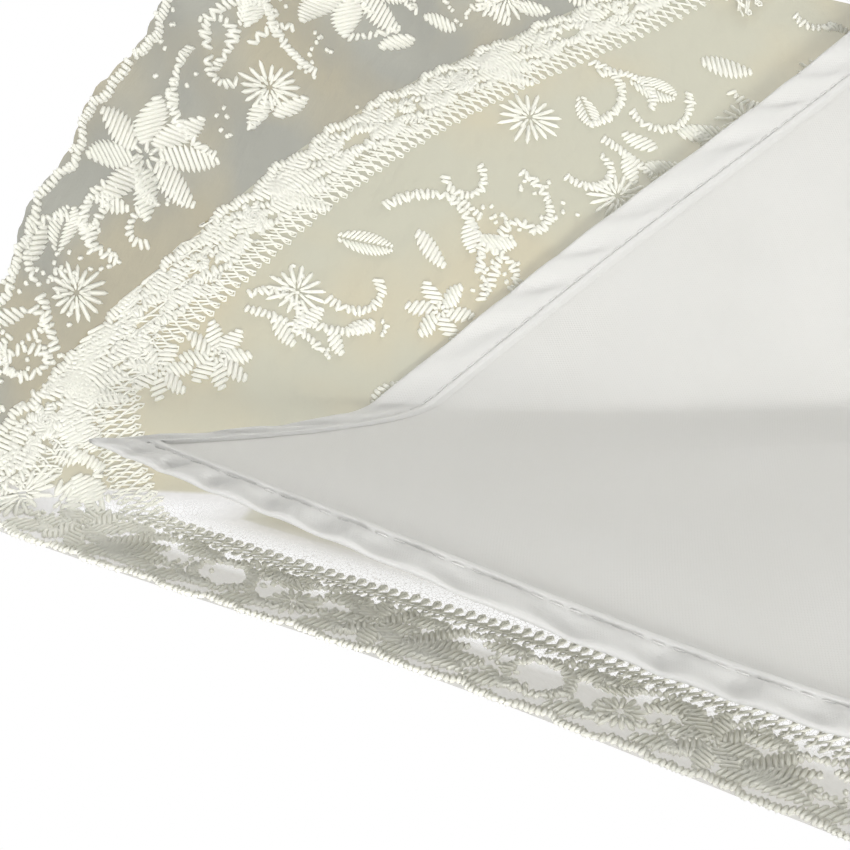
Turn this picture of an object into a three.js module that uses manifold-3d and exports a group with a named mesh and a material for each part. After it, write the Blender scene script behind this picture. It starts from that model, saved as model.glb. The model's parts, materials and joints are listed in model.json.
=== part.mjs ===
// An open lace parasol: an eight-rib folding frame on a tube shaft, with a cotton lining under the
// ribs and a lace cover over them. Millimetres, +Z up the shaft, origin at the middle of the grip.
import * as THREE from "three";
import { mergeVertices } from "three/addons/utils/BufferGeometryUtils.js";
import Module from "manifold-3d";

const wasm = await Module();
wasm.setup();
const radians = THREE.MathUtils.degToRad;

// Driving dimensions
const RIBS = 8;
const GAP = 0.3; // between pieces that touch on the real parasol
const CROWN_Z = 525; // height of the rib pivots
const PIVOT_R = 11.5; // radius of the circle that the rib pivots lie on
const RIB_ARC = 380; // length over which a rib turns from its crown slope to its tip slope
const RIB_SLOPE = { crown: radians(8), tip: radians(40) }; // below the horizontal
const RIB_LENGTH = 364; // the blade ends short of the cloth's corners
const BLADE = { thick: 2, deep: 3 }; // section of a rib and of a stretcher
const EYE = { outer: 2.4, hole: 1.2 };
const JOINER = { along: 150, drop: 5.5, length: 8, wall: 1, pin: 0.8 };
const NOTCH = { outer: 15, height: 7, slot: BLADE.thick + 2 * GAP };
const SHAFT = { outer: 5, inner: 4 };
const GRIP = { top: 60, bottom: -60, cap: -75 };
const COLLAR_TOP = 74;
const SLEEVE = { outer: 7.1, length: 30, ring: 9.2 }; // the runner's tube, below its flange
const CATCH = { reach: 7.6, width: 2, height: 12, leaf: 12 };
const FERRULE_TOP = CROWN_Z + 55;
const SHAFT_TOP = CROWN_Z + 20;
const LINING = { offset: -3.3, thick: 0.6, start: 20, reach: 380, scallop: 102, seam: 3.2 };
const LACE = { offset: 4.8, thick: 0.8, start: 18, reach: 420, scallop: 105, seam: 0.4 };
const SCALLOP_POWER = 1.12; // 2 is a round scallop, 1 a straight hem with a corner in mid-gore

// Derived frame geometry: a rib is an arc of a circle in its own upright plane.
const HALF_GORE = Math.PI / RIBS;
const RIB_RADIUS = RIB_ARC / (RIB_SLOPE.tip - RIB_SLOPE.crown);
const RIB_CENTRE = {
  r: PIVOT_R - RIB_RADIUS * Math.sin(RIB_SLOPE.crown),
  z: CROWN_Z - RIB_RADIUS * Math.cos(RIB_SLOPE.crown),
};
const slopeAt = (along) => RIB_SLOPE.crown + along / RIB_RADIUS;

// The point of the rib's arc `along` millimetres from its pivot, `offset` outside its centre line.
function ribPoint(along, offset = 0) {
  const slope = slopeAt(along);
  const radius = RIB_RADIUS + offset;
  return { r: RIB_CENTRE.r + radius * Math.sin(slope), z: RIB_CENTRE.z + radius * Math.cos(slope) };
}

// The stretcher is as long as the joiner is far from the crown, so that its inner end stays at
// the pivots' radius all the way down the shaft.
const JOINT = ribPoint(JOINER.along, -JOINER.drop);
const STRETCHER_LENGTH = Math.hypot(JOINT.r - PIVOT_R, CROWN_Z - JOINT.z);
const RUNNER_Z = 2 * JOINT.z - CROWN_Z;
const STRETCHER_TILT = Math.atan2(CROWN_Z - JOINT.z, JOINT.r - PIVOT_R);
const SLEEVE_BOTTOM = RUNNER_Z - SLEEVE.length;
const RUNNER_TRAVEL = 210;
const CATCH_AZIMUTH = HALF_GORE; // the catches stand between two ribs

const MATERIALS = {
  lining: { color: 0xf6f5ef, roughness: 0.85, metalness: 0 },
  lace: { color: 0xe9e6d6, roughness: 0.9, metalness: 0 },
  steel: { color: 0xb9bcbf, roughness: 0.35, metalness: 1 },
  brass: { color: 0xc9a55c, roughness: 0.3, metalness: 1 },
  paint: { color: 0xf1ece0, roughness: 0.4, metalness: 0 },
  wood: { color: 0xd9b98a, roughness: 0.5, metalness: 0 },
  tip: { color: 0xf4efe2, roughness: 0.3, metalness: 0 },
};
const materials = Object.fromEntries(
  Object.entries(MATERIALS).map(([name, look]) => [name, new THREE.MeshStandardMaterial(look)]),
);

const parasol = new THREE.Group();

function addMesh(parent, name, geometry, material) {
  const mesh = new THREE.Mesh(geometry, materials[material]);
  mesh.name = name;
  parent.add(mesh);
  return mesh;
}

function toSolid(geometry) {
  const bare = geometry.index ? geometry.toNonIndexed() : geometry.clone();
  bare.deleteAttribute("normal");
  bare.deleteAttribute("uv");
  const merged = mergeVertices(bare, 1e-3);
  const mesh = new wasm.Mesh({
    numProp: 3,
    vertProperties: merged.attributes.position.array,
    triVerts: new Uint32Array(merged.index.array),
  });
  return new wasm.Manifold(mesh);
}

function toGeometry(solid) {
  const mesh = solid.getMesh();
  const geometry = new THREE.BufferGeometry();
  geometry.setAttribute("position", new THREE.BufferAttribute(mesh.vertProperties.slice(), 3));
  geometry.setIndex(new THREE.BufferAttribute(mesh.triVerts.slice(), 1));
  geometry.computeVertexNormals();
  return geometry;
}

// A solid turned about +Z from [radius, height] pairs that run up its outside.
function turned(profile, segments = 24) {
  const points = profile.map(([radius, height]) => new THREE.Vector2(radius, height));
  return new THREE.LatheGeometry(points, segments).rotateX(Math.PI / 2);
}

// A turned ring: the profile is closed on itself, up the outside and down the bore.
const turnedRing = (profile, segments) => turned([...profile, profile[0]], segments);

// A flat plate whose outline is drawn in the X-Z plane, centred on Y = 0.
function plate(shape, thick, curveSegments) {
  const options = { depth: thick, bevelEnabled: false, curveSegments };
  return new THREE.ExtrudeGeometry(shape, options).rotateX(Math.PI / 2).translate(0, thick / 2, 0);
}

function disc(x, z, radius, thick, segments) {
  const shape = new THREE.Shape().absarc(x, z, radius, 0, 2 * Math.PI);
  return plate(shape, thick, segments);
}

function box(low, high) {
  const size = high.map((value, axis) => value - low[axis]);
  const middle = high.map((value, axis) => (value + low[axis]) / 2);
  return new THREE.BoxGeometry(...size).translate(...middle);
}

// One closed thin shell over a grid of points, `thick` deep along Z.
function sheetSolid(surface, thick, columns, rows) {
  const positions = [];
  const index = [];
  const width = columns + 1;
  const layer = width * (rows + 1);
  for (const lift of [thick / 2, -thick / 2]) {
    for (let row = 0; row <= rows; row++) {
      for (let column = 0; column <= columns; column++) {
        const point = surface((2 * column) / columns - 1, row / rows);
        positions.push(point.x, point.y, point.z + lift);
      }
    }
  }
  const quad = (a, b, c, d) => index.push(a, b, c, a, c, d);
  for (let row = 0; row < rows; row++) {
    for (let column = 0; column < columns; column++) {
      const a = row * width + column;
      quad(a, a + width, a + width + 1, a + 1);
      quad(layer + a, layer + a + 1, layer + a + width + 1, layer + a + width);
    }
  }
  const rim = (a, b) => quad(a, b, b + layer, a + layer);
  for (let column = 0; column < columns; column++) {
    rim(column, column + 1);
    rim(rows * width + column + 1, rows * width + column);
  }
  for (let row = 0; row < rows; row++) {
    rim((row + 1) * width, row * width);
    rim(row * width + columns, (row + 1) * width + columns);
  }
  const geometry = new THREE.BufferGeometry();
  geometry.setAttribute("position", new THREE.Float32BufferAttribute(positions, 3));
  geometry.setIndex(index);
  geometry.computeVertexNormals();
  return geometry;
}

// A hub with one axial slot for each blade and a groove that holds the hinge wire.
function slottedFlange({ hub, bore, slotFrom, wire, bottom }) {
  const half = NOTCH.height / 2;
  const grooveFloor = -wire.thick - 2 * GAP;
  const flange = turnedRing([[bore, -half], [NOTCH.outer, -half], [NOTCH.outer, half], [bore, half]], 32);
  const groove = turnedRing(
    [
      [wire.radius - wire.thick - GAP, grooveFloor],
      [wire.radius + wire.thick + GAP, grooveFloor],
      [wire.radius + wire.thick + GAP, half + 1],
      [wire.radius - wire.thick - GAP, half + 1],
    ],
    32,
  );
  let solid = toSolid(flange).subtract(toSolid(groove));
  for (let i = 0; i < RIBS; i++) {
    const slot = box([slotFrom, -NOTCH.slot / 2, -half - 1], [NOTCH.outer + 1, NOTCH.slot / 2, half + 1]);
    slot.rotateZ(2 * HALF_GORE * i);
    solid = solid.subtract(toSolid(slot));
  }
  const sleeve = turnedRing([[bore, bottom], [hub, bottom], [hub, half], [bore, half]], 32);
  return solid.add(toSolid(sleeve));
}

function hingeWire(name, parent, wire, z) {
  addMesh(parent, name, new THREE.TorusGeometry(wire.radius, wire.thick, 6, 32), "steel").position.z = z;
}

const CROWN_WIRE = { radius: PIVOT_R, thick: 0.7 };
const RUNNER_WIRE = { radius: 8.3, thick: 0.45 };

// Where each catch's latch face is: under the runner's sleeve when it is up, and inside its
// slit when it is down.
const TOP_CATCH_Z = SLEEVE_BOTTOM - 0.5;
const BOTTOM_CATCH_Z = SLEEVE_BOTTOM - RUNNER_TRAVEL + 20;

function addShaft() {
  const tube = [[SHAFT.inner, 20], [SHAFT.outer, 20], [SHAFT.outer, SHAFT_TOP], [SHAFT.inner, SHAFT_TOP]];
  let solid = toSolid(turnedRing(tube, 32));
  const half = CATCH.width / 2 + 0.4;
  for (const top of [TOP_CATCH_Z, BOTTOM_CATCH_Z]) {
    const low = [SHAFT.inner - 1.5, -half, top - CATCH.height - 1.5];
    const window_ = box(low, [SHAFT.outer + 1, half, top + 1.5]);
    solid = solid.subtract(toSolid(window_.rotateZ(CATCH_AZIMUTH)));
  }
  addMesh(parasol, "shaft", toGeometry(solid), "paint");
}

// A sprung catch: a leaf inside the tube, and a wedge that stands out through its window.
function addCatch(name, top) {
  const leafOuter = SHAFT.inner - 0.5;
  const leafInner = leafOuter - 0.6;
  const foot = top - CATCH.height;
  const outline = [
    [leafInner, foot - CATCH.leaf],
    [leafOuter, foot - CATCH.leaf],
    [leafOuter, foot],
    [CATCH.reach, top - 2],
    [CATCH.reach, top],
    [leafInner, top],
  ];
  const shape = new THREE.Shape(outline.map(([radius, height]) => new THREE.Vector2(radius, height)));
  addMesh(parasol, name, plate(shape, CATCH.width), "steel").rotation.z = CATCH_AZIMUTH;
}

function addHandle() {
  const bore = SHAFT.outer + GAP;
  const floor = 18; // the tube stops on the bottom of its hole in the grip
  const turnedGrip = [
    [0, GRIP.bottom],
    [10, GRIP.bottom],
    [12.5, GRIP.bottom + 4],
    [13.2, GRIP.bottom + 12],
    [11.2, GRIP.bottom + 24],
    [9.6, -24],
    [9.2, -6],
    [10.2, 14],
    [12, 32],
    [12.4, 42],
    [10.6, 50],
    [9.6, 52],
    [10.4, 55],
    [9.4, GRIP.top],
    [bore, GRIP.top],
    [bore, floor],
    [0, floor],
  ];
  addMesh(parasol, "handle", turned(turnedGrip), "wood");
  const base = GRIP.cap;
  const neck = GRIP.bottom - GAP;
  const cap = [[0, base], [9, base], [11.4, base + 2], [12.2, base + 6], [11, base + 11], [9, neck], [0, neck]];
  addMesh(parasol, "handle_cap", turned(cap), "wood");
  const collarBase = GRIP.top + GAP;
  const collar = [
    [bore, collarBase],
    [9, collarBase],
    [9, collarBase + 3],
    [7.4, collarBase + 5],
    [7.4, COLLAR_TOP - 2],
    [6.6, COLLAR_TOP],
    [bore, COLLAR_TOP],
  ];
  addMesh(parasol, "handle_collar", turnedRing(collar), "brass");
}

function addCrown() {
  const bore = SHAFT.outer + GAP;
  const hub = 7.6;
  const notch = slottedFlange({ hub, bore, slotFrom: hub + 1, wire: CROWN_WIRE, bottom: -12 });
  addMesh(parasol, "top_notch", toGeometry(notch), "brass").position.z = CROWN_Z;
  hingeWire("notch_wire", parasol, CROWN_WIRE, CROWN_Z);
  const rosette = [[bore, 6.4], [14, 6], [25, 5], [26, 5.6], [14, 7.4], [bore, 8]];
  addMesh(parasol, "rosette", turnedRing(rosette, 32), "lace").position.z = CROWN_Z;
  const foot = 8 + GAP;
  const top = FERRULE_TOP - CROWN_Z;
  const ferrule = [
    [bore, foot],
    [9.5, foot],
    [10, foot + 2],
    [7.6, foot + 5],
    [7, foot + 9],
    [8.2, foot + 12],
    [7, foot + 15],
    [5.2, foot + 30],
    [4.4, top - 6],
    [4.8, top - 4],
    [3.6, top],
    [0, top],
    [0, SHAFT_TOP - CROWN_Z + 1],
    [bore, SHAFT_TOP - CROWN_Z + 1],
    [bore, foot],
  ];
  addMesh(parasol, "ferrule", turned(ferrule), "wood").position.z = CROWN_Z;
}

function addRunner() {
  const bore = SHAFT.outer + 0.4;
  const hub = SLEEVE.outer;
  let solid = slottedFlange({ hub, bore, slotFrom: 7.6, wire: RUNNER_WIRE, bottom: -SLEEVE.length });
  const low = -SLEEVE.length;
  const ring = [[bore, low], [SLEEVE.ring, low], [SLEEVE.ring, low + 4], [bore, low + 4 + SLEEVE.ring - hub]];
  solid = solid.add(toSolid(turnedRing(ring, 32)));
  const half = CATCH.width / 2 + 0.5;
  const slit = box([SHAFT.inner, -half, low - 1], [CATCH.reach + 0.5, half, NOTCH.height]);
  solid = solid.subtract(toSolid(slit.rotateZ(CATCH_AZIMUTH)));
  addMesh(parasol, "runner", toGeometry(solid), "brass").position.z = RUNNER_Z;
  hingeWire("runner_wire", parasol, RUNNER_WIRE, RUNNER_Z);
}

function ribGeometry() {
  const half = BLADE.deep / 2;
  const from = Math.PI / 2 - slopeAt(1);
  const to = Math.PI / 2 - slopeAt(RIB_LENGTH);
  const strip = new THREE.Shape()
    .absarc(RIB_CENTRE.r, RIB_CENTRE.z, RIB_RADIUS + half, from, to, true)
    .absarc(RIB_CENTRE.r, RIB_CENTRE.z, RIB_RADIUS - half, to, from, false);
  return toGeometry(
    toSolid(plate(strip, BLADE.thick, 8))
      .add(toSolid(disc(PIVOT_R, CROWN_Z, EYE.outer, BLADE.thick, 7)))
      .subtract(toSolid(disc(PIVOT_R, CROWN_Z, EYE.hole, 2 * BLADE.thick, 7))),
  );
}

// The tip is a round-nosed cap over the rib's end, along the rib's last slope.
function tipGeometry() {
  const bore = 2.1;
  const profile = [[bore, -6], [2.7, -6], [2.8, 0], [2.4, 3], [1.4, 4.6], [0, 5], [0, GAP], [bore, GAP], [bore, -6]];
  const end = ribPoint(RIB_LENGTH);
  return turned(profile, 10)
    .rotateY(Math.PI / 2 + slopeAt(RIB_LENGTH))
    .translate(end.r, 0, end.z);
}

// The joiner is a saddle over the rib, with two cheeks that hold the stretcher's pin under it.
function joinerGeometry() {
  const inner = BLADE.thick / 2 + GAP;
  const outer = inner + JOINER.wall;
  const roof = BLADE.deep / 2 + GAP;
  const foot = -JOINER.drop - EYE.outer;
  const half = JOINER.length / 2;
  const pin = disc(0, -JOINER.drop, JOINER.pin, 2 * outer, 5);
  const saddle = toSolid(box([-half, -outer, foot], [half, outer, roof + JOINER.wall]))
    .subtract(toSolid(box([-half - 1, -inner, foot - 1], [half + 1, inner, roof])))
    .add(toSolid(pin));
  const middle = ribPoint(JOINER.along);
  return toGeometry(saddle)
    .rotateY(slopeAt(JOINER.along))
    .translate(middle.r, 0, middle.z);
}

// The stretcher runs from the joiner's pin down and in to the runner. Its inner end lies free in
// the runner's slot.
function stretcherGeometry() {
  const half = BLADE.deep / 2;
  const blade = new THREE.Shape()
    .moveTo(0, -half)
    .lineTo(0, half)
    .lineTo(half - STRETCHER_LENGTH, half)
    .absarc(half - STRETCHER_LENGTH, 0, half, Math.PI / 2, (3 * Math.PI) / 2, false);
  return toGeometry(
    toSolid(plate(blade, BLADE.thick, 3))
      .add(toSolid(disc(0, 0, EYE.outer, BLADE.thick, 7)))
      .subtract(toSolid(disc(0, 0, EYE.hole, 2 * BLADE.thick, 7))),
  )
    .rotateY(-STRETCHER_TILT)
    .translate(JOINT.r, 0, JOINT.z);
}

// A gore between two ribs: straight across from rib to rib, domed along them, with a hem that
// runs deep in towards the crown between the rib tips.
function goreGeometry(cloth, columns, rows) {
  const surface = (across, down) => {
    const hem = cloth.reach - cloth.scallop * (1 - Math.abs(across) ** SCALLOP_POWER);
    const along = cloth.start - PIVOT_R + (hem - cloth.start + PIVOT_R) * down;
    const rib = ribPoint(along, cloth.offset);
    const halfWidth = rib.r * Math.sin(HALF_GORE) - cloth.seam / Math.cos(HALF_GORE);
    return { x: rib.r * Math.cos(HALF_GORE), y: across * halfWidth, z: rib.z };
  };
  return sheetSolid(surface, cloth.thick, columns, rows);
}

function addRib(i) {
  const arm = new THREE.Group();
  arm.rotation.z = 2 * HALF_GORE * i;
  parasol.add(arm);
  addMesh(arm, `rib_${i + 1}`, ribGeometry(), "steel");
  addMesh(arm, `rib_tip_${i + 1}`, tipGeometry(), "tip");
  addMesh(arm, `rib_joiner_${i + 1}`, joinerGeometry(), "steel");
  addMesh(arm, `stretcher_${i + 1}`, stretcherGeometry(), "steel");
  const gore = new THREE.Group();
  gore.rotation.z = HALF_GORE;
  arm.add(gore);
  addMesh(gore, `lining_panel_${i + 1}`, goreGeometry(LINING, 4, 7), "lining");
  addMesh(gore, `lace_panel_${i + 1}`, goreGeometry(LACE, 6, 9), "lace");
}

addShaft();
addHandle();
addCrown();
addRunner();
addCatch("top_spring", TOP_CATCH_Z);
addCatch("bottom_spring", BOTTOM_CATCH_Z);
for (let i = 0; i < RIBS; i++) addRib(i);

export default parasol;
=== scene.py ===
"""A lace parasol seen from inside, at the tip of one rib: cotton lining, embroidered lace and frame."""

import json
import math

import bpy
import numpy as np
from mathutils import Matrix, Vector


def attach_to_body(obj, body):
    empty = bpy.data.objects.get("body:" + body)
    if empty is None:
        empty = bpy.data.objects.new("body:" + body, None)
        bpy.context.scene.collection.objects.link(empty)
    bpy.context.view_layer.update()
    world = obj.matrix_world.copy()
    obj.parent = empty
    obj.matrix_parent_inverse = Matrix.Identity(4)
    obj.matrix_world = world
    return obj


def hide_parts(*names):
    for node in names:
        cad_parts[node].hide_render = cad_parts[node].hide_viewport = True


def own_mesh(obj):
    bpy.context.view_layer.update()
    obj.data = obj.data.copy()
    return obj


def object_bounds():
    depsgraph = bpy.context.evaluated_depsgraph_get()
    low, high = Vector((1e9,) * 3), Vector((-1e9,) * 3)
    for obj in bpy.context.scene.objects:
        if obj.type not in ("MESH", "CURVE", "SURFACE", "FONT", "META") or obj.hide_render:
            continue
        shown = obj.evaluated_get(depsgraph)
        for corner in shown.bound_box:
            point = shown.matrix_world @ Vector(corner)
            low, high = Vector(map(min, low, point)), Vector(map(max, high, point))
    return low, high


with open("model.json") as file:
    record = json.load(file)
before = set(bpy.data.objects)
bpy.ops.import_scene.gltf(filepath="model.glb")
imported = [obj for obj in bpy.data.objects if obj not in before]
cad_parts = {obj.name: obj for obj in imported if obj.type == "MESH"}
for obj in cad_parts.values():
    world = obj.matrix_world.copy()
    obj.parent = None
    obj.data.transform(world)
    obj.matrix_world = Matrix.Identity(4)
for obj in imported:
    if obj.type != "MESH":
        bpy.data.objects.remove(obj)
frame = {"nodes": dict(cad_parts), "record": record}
cad_box = [list(corner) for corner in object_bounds()]

# Driving dimensions, in millimetres and radians. The frame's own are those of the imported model.
MM = 0.001
RIBS = 8
HALF_GORE = math.pi / RIBS
HINGE = next(j for j in frame["record"]["behaviour"]["joints"] if j["name"] == "rib_hinge_1")
PIVOT_R, CROWN_Z = HINGE["pos_m"][0] / MM, HINGE["pos_m"][2] / MM
RIB_ARC = 380.0  # length over which a rib turns from its crown slope to its tip slope
CROWN_SLOPE, TIP_SLOPE = math.radians(8), math.radians(40)
RIB_RADIUS = RIB_ARC / (TIP_SLOPE - CROWN_SLOPE)
JOINER_ALONG = 150.0  # where the stretcher's joiner sits on the rib

# A cloth lies at "lift" outside the ribs, from "start" off the shaft to "reach" along the rib. Its
# edge rises by "scallop" in mid-gore; "tail" lengthens its corner at the rib, and "lean" bends the
# edge on either side of the rib.
LINING = {"lift": -3.3, "start": 20.0, "reach": 372.0, "scallop": 100.0, "tail": 23.0, "lean": (0.0, 0.0)}
LACE = {"lift": 4.8, "start": 18.0, "reach": 418.0, "scallop": 105.0, "tail": 0.0, "lean": (49.0, 40.0)}
EDGE_POWER = 1.12  # 2 would be a round scallop, 1 a straight edge to a point between the ribs
EDGE_ROUND = 0.02  # rounds that point off
TAIL_WIDTH = 0.13  # share of the half gore over which the lining's corner narrows
EDGE_LEAN = 1.28  # an edge crosses the gore aslant, so a row lies further along than it is deep
SAG, SAG_AT = 9.4, 350.0  # how far mid-gore hangs in from a straight line, at this distance from the shaft
FOLD_SHIFT = 20.0  # the lining's fold lies this far beside the rib at the tip
FOLD_PITCH = 0.245  # slope of the lining to each side of its fold
FOLD_REACH = 90.0  # the fold is lost in the gore's own curve this far out
HEM_WIDTH, HEM_STITCH = 8.2, 6.5  # the hem, and its line of stitches in from the edge
HEM_FOLD = 0.6  # thickness of the cloth folded under in the hem
PUCKER, PUCKER_PITCH = 1.15, 11.8
EYELET_LENGTH, EYELET_WIDTH = 14.4, 6.8  # opening in the lining for the joiner

LOOSE_WIDTH, LOOSE_RIPPLE = 70.0, 2.2  # beyond the ribs' hold the lace ripples
BAND_INSET = {1: 9.0, -1: 16.5}  # middle of the looped band, in from the lace's edge, on each side
BAND_REACH, BAND_PITCH = 2.1, 1.75
BORDER_REPEAT = 12.5
BORDER_START = -26.0  # the border begins this far before the rib, over the other half gore
TIP_SPREAD, TIP_SPREAD_REACH = {1: 0.0, -1: 0.6}, 16.0  # the border is wider by this share round the tip
TIP_CLEAR = 78.0  # no motif of the field lies nearer to the rib's tip
OPEN_COVER = 0.85  # cover of the sheer ground in the border of the more open side
SCALLOP_PITCH = 4.4  # small scallops of the corded lips
FLOUNCE_DROP, FLOUNCE_MOST = 25.0, 41.0  # drop of the flounce soon after the rib, and at most
FLOUNCE_PLEAT, FLOUNCE_CURL = 1.6, 1.2
FLOUNCE_FULLNESS = 1.04  # cloth in the flounce, of the length of its edge
ROSETTE = {"inner": 5.4, "outer": 25.5, "above_pivots": 7.1, "pleats": 18, "strip": (150.0, 21.0)}
FLOOR_RADIUS = 9000.0
KEY_SPREAD = math.radians(46)  # the low lights shine up under the canopy and miss the floor

rng = np.random.default_rng(7)


# --- Where the cloth lies -------------------------------------------------------------------------
# w runs across the two half gores beside a rib: 0 on the rib, -1 and 1 in the middle of the
# gores. "along" is the distance from the rib's pivot, and lift is outward from the ribs.


def rib_arc(along, lift):
    slope = CROWN_SLOPE + along / RIB_RADIUS
    radius = RIB_RADIUS + lift
    r = PIVOT_R - RIB_RADIUS * math.sin(CROWN_SLOPE) + radius * np.sin(slope)
    z = CROWN_Z - RIB_RADIUS * math.cos(CROWN_SLOPE) + radius * np.cos(slope)
    return r, z, slope


def from_fold(y, along):
    """Distance across the gore from the lining's fold, which runs a little beside the rib."""
    fold = FOLD_SHIFT * along / RIB_ARC
    near = np.exp(-((y / FOLD_REACH) ** 2))
    return np.sqrt((y - fold) ** 2 + 0.5) * near + np.abs(y) * (1 - near)


def canopy(w, along, lift, folded=False):
    """Points on the canopy beside rib 1 and their outward normals, in millimetres."""
    w, along = np.broadcast_arrays(np.asarray(w, float), np.asarray(along, float))
    r, z, slope = rib_arc(along, lift)
    half_width = r * math.sin(HALF_GORE)
    y = w * half_width
    size, inward = np.abs(w), 0.0
    if folded:
        size = from_fold(y, along) / half_width
        inward = (size - np.abs(w)) * half_width * FOLD_PITCH
    inward = inward + SAG * r / SAG_AT * size * (2 - size)
    turn = w * HALF_GORE
    normal = np.stack([np.sin(slope) * np.cos(turn), np.sin(slope) * np.sin(turn), np.cos(slope)], -1)
    point = np.stack([r - np.abs(y) * math.sin(HALF_GORE), y * math.cos(HALF_GORE), z], -1)
    return point - inward[..., None] * normal, normal


def edge_curve(cloth, w):
    """Where the cloth ends along the gore: a scallop between the ribs."""
    size = np.abs(w)
    inset = (1 - size) ** 2 + EDGE_ROUND
    rounded = np.sqrt(inset / (1 + EDGE_ROUND)) ** EDGE_POWER
    along = cloth["reach"] - cloth["scallop"] * (1 - rounded)
    past = np.clip(w / TAIL_WIDTH, 0, 1)
    along = along + cloth["tail"] * (1 - past) ** 2 * (1 - np.clip(-w, 0, 1) ** 4)
    return along + np.where(w < 0, -cloth["lean"][1], cloth["lean"][0]) * size * (1 - size**2)


# --- Vectors and meshes ---------------------------------------------------------------------------


def unit(angle):
    return np.stack([np.cos(angle), np.sin(angle)], -1)


def turned_about_z(points, angle):
    c, s = math.cos(angle), math.sin(angle)
    return points @ np.array([[c, s, 0], [-s, c, 0], [0, 0, 1]])


def make_mesh(name, points, faces, material, smooth=True):
    mesh = bpy.data.meshes.new(name)
    faces = np.asarray(faces, np.int32)
    mesh.vertices.add(len(points))
    mesh.vertices.foreach_set("co", (np.asarray(points) * MM).astype(np.float32).ravel())
    corners = faces.shape[1]
    mesh.loops.add(faces.size)
    mesh.loops.foreach_set("vertex_index", faces.ravel())
    mesh.polygons.add(len(faces))
    mesh.polygons.foreach_set("loop_start", np.arange(0, faces.size, corners, dtype=np.int32))
    mesh.update(calc_edges=True)
    mesh.shade_smooth() if smooth else mesh.shade_flat()
    mesh.materials.append(material)
    piece = bpy.data.objects.new(name, mesh)
    bpy.context.scene.collection.objects.link(piece)
    return piece


def around_ribs(name, points, faces, material):
    """The same piece on each rib."""
    points = points.reshape(-1, 3)
    turned = [turned_about_z(points, 2 * HALF_GORE * i) for i in range(RIBS)]
    return [make_mesh(f"{name}_{i + 1}", turned[i], faces, material) for i in range(RIBS)]


def grid_faces(rows, columns, first=0, flip=False):
    index = first + np.arange(rows * columns).reshape(rows, columns)
    quads = np.stack([index[:-1, :-1], index[:-1, 1:], index[1:, 1:], index[1:, :-1]], -1)
    quads = quads.reshape(-1, 4)
    return quads[:, ::-1] if flip else quads


def sheet_solid(outer, inner):
    """Points and faces of a closed sheet between two grids of the same shape."""
    rows, columns = outer.shape[:2]
    count = rows * columns
    index = np.arange(count).reshape(rows, columns)
    rim = np.concatenate([index[0, :-1], index[:-1, -1], index[-1, :0:-1], index[:0:-1, 0]])
    after = np.roll(rim, -1)
    sides = np.stack([rim, rim + count, after + count, after], -1)
    faces = [grid_faces(rows, columns), grid_faces(rows, columns, count, True), sides]
    return np.concatenate([outer.reshape(-1, 3), inner.reshape(-1, 3)]), np.concatenate(faces)


def soft_noise(shape_u, shape_v, scale_u, scale_v, seed):
    """Smooth noise from -1 to 1 on two coordinate grids: a few sine waves of random phase."""
    draw = np.random.default_rng(seed)
    total = 0
    for _ in range(6):
        angle, phase = draw.uniform(-0.6, 0.6), draw.uniform(0, 2 * math.pi)
        stretch = draw.uniform(0.6, 1.6)
        turns = (shape_u / scale_u * math.cos(angle) + shape_v / scale_v * math.sin(angle)) * stretch
        total = total + np.sin(turns * 2 * math.pi + phase)
    return total / 3


# --- Materials ------------------------------------------------------------------------------------


def feed(tree, node, **inputs):
    """Sets inputs of a node, named by their sockets, to values or to outputs of other nodes."""
    for name, value in inputs.items():
        socket = node.inputs[name.replace("_", " ")]
        if isinstance(value, bpy.types.NodeSocket):
            tree.links.new(value, socket)
        else:
            socket.default_value = (*value, 1) if socket.type == "RGBA" else value
    return node


def add_node(tree, kind, **inputs):
    return feed(tree, tree.nodes.new("ShaderNode" + kind), **inputs)


def new_material(name, colour, roughness, **inputs):
    material = bpy.data.materials.new(name)
    material.use_nodes = True
    tree = material.node_tree
    shader = feed(tree, tree.nodes["Principled BSDF"], Base_Color=colour, Roughness=roughness, **inputs)
    return material, tree, shader


def mix_colours(tree, factor, low, high):
    mix = tree.nodes.new("ShaderNodeMix")
    mix.data_type = "RGBA"
    return feed(tree, mix, Factor=factor, A=low, B=high).outputs["Result"]


def mix_shaders(tree, share, first, second):
    mix = add_node(tree, "MixShader", Fac=share)
    tree.links.new(first, mix.inputs[1])
    tree.links.new(second, mix.inputs[2])
    return mix.outputs["Shader"]


def combine(tree, operation, first, second):
    node = add_node(tree, "Math")
    node.operation = operation
    tree.links.new(first, node.inputs[0])
    tree.links.new(second, node.inputs[1])
    return node.outputs["Value"]


def ramp_between(tree, value, start, end, low, high):
    ramp = add_node(tree, "MapRange", Value=value, From_Min=start, From_Max=end, To_Min=low, To_Max=high)
    return ramp.outputs["Result"]


def coordinates(tree, scale=(1, 1, 1)):
    place = add_node(tree, "TexCoord").outputs["Object"]
    return add_node(tree, "Mapping", Vector=place, Scale=scale).outputs["Vector"]


def noise(tree, scale, detail=3.0, stretch=(1, 1, 1)):
    place = coordinates(tree, stretch)
    return add_node(tree, "TexNoise", Vector=place, Scale=scale, Detail=detail).outputs["Fac"]


def add_bump(tree, shader, height, strength, distance):
    bump = add_node(tree, "Bump", Height=height, Strength=strength, Distance=distance)
    feed(tree, shader, Normal=bump.outputs["Normal"])


def add_translucency(tree, shader, colour, share):
    through = add_node(tree, "BsdfTranslucent", Color=colour)
    mix = mix_shaders(tree, share, shader.outputs["BSDF"], through.outputs["BSDF"])
    feed(tree, tree.nodes["Material Output"], Surface=mix)
    return mix


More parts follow.
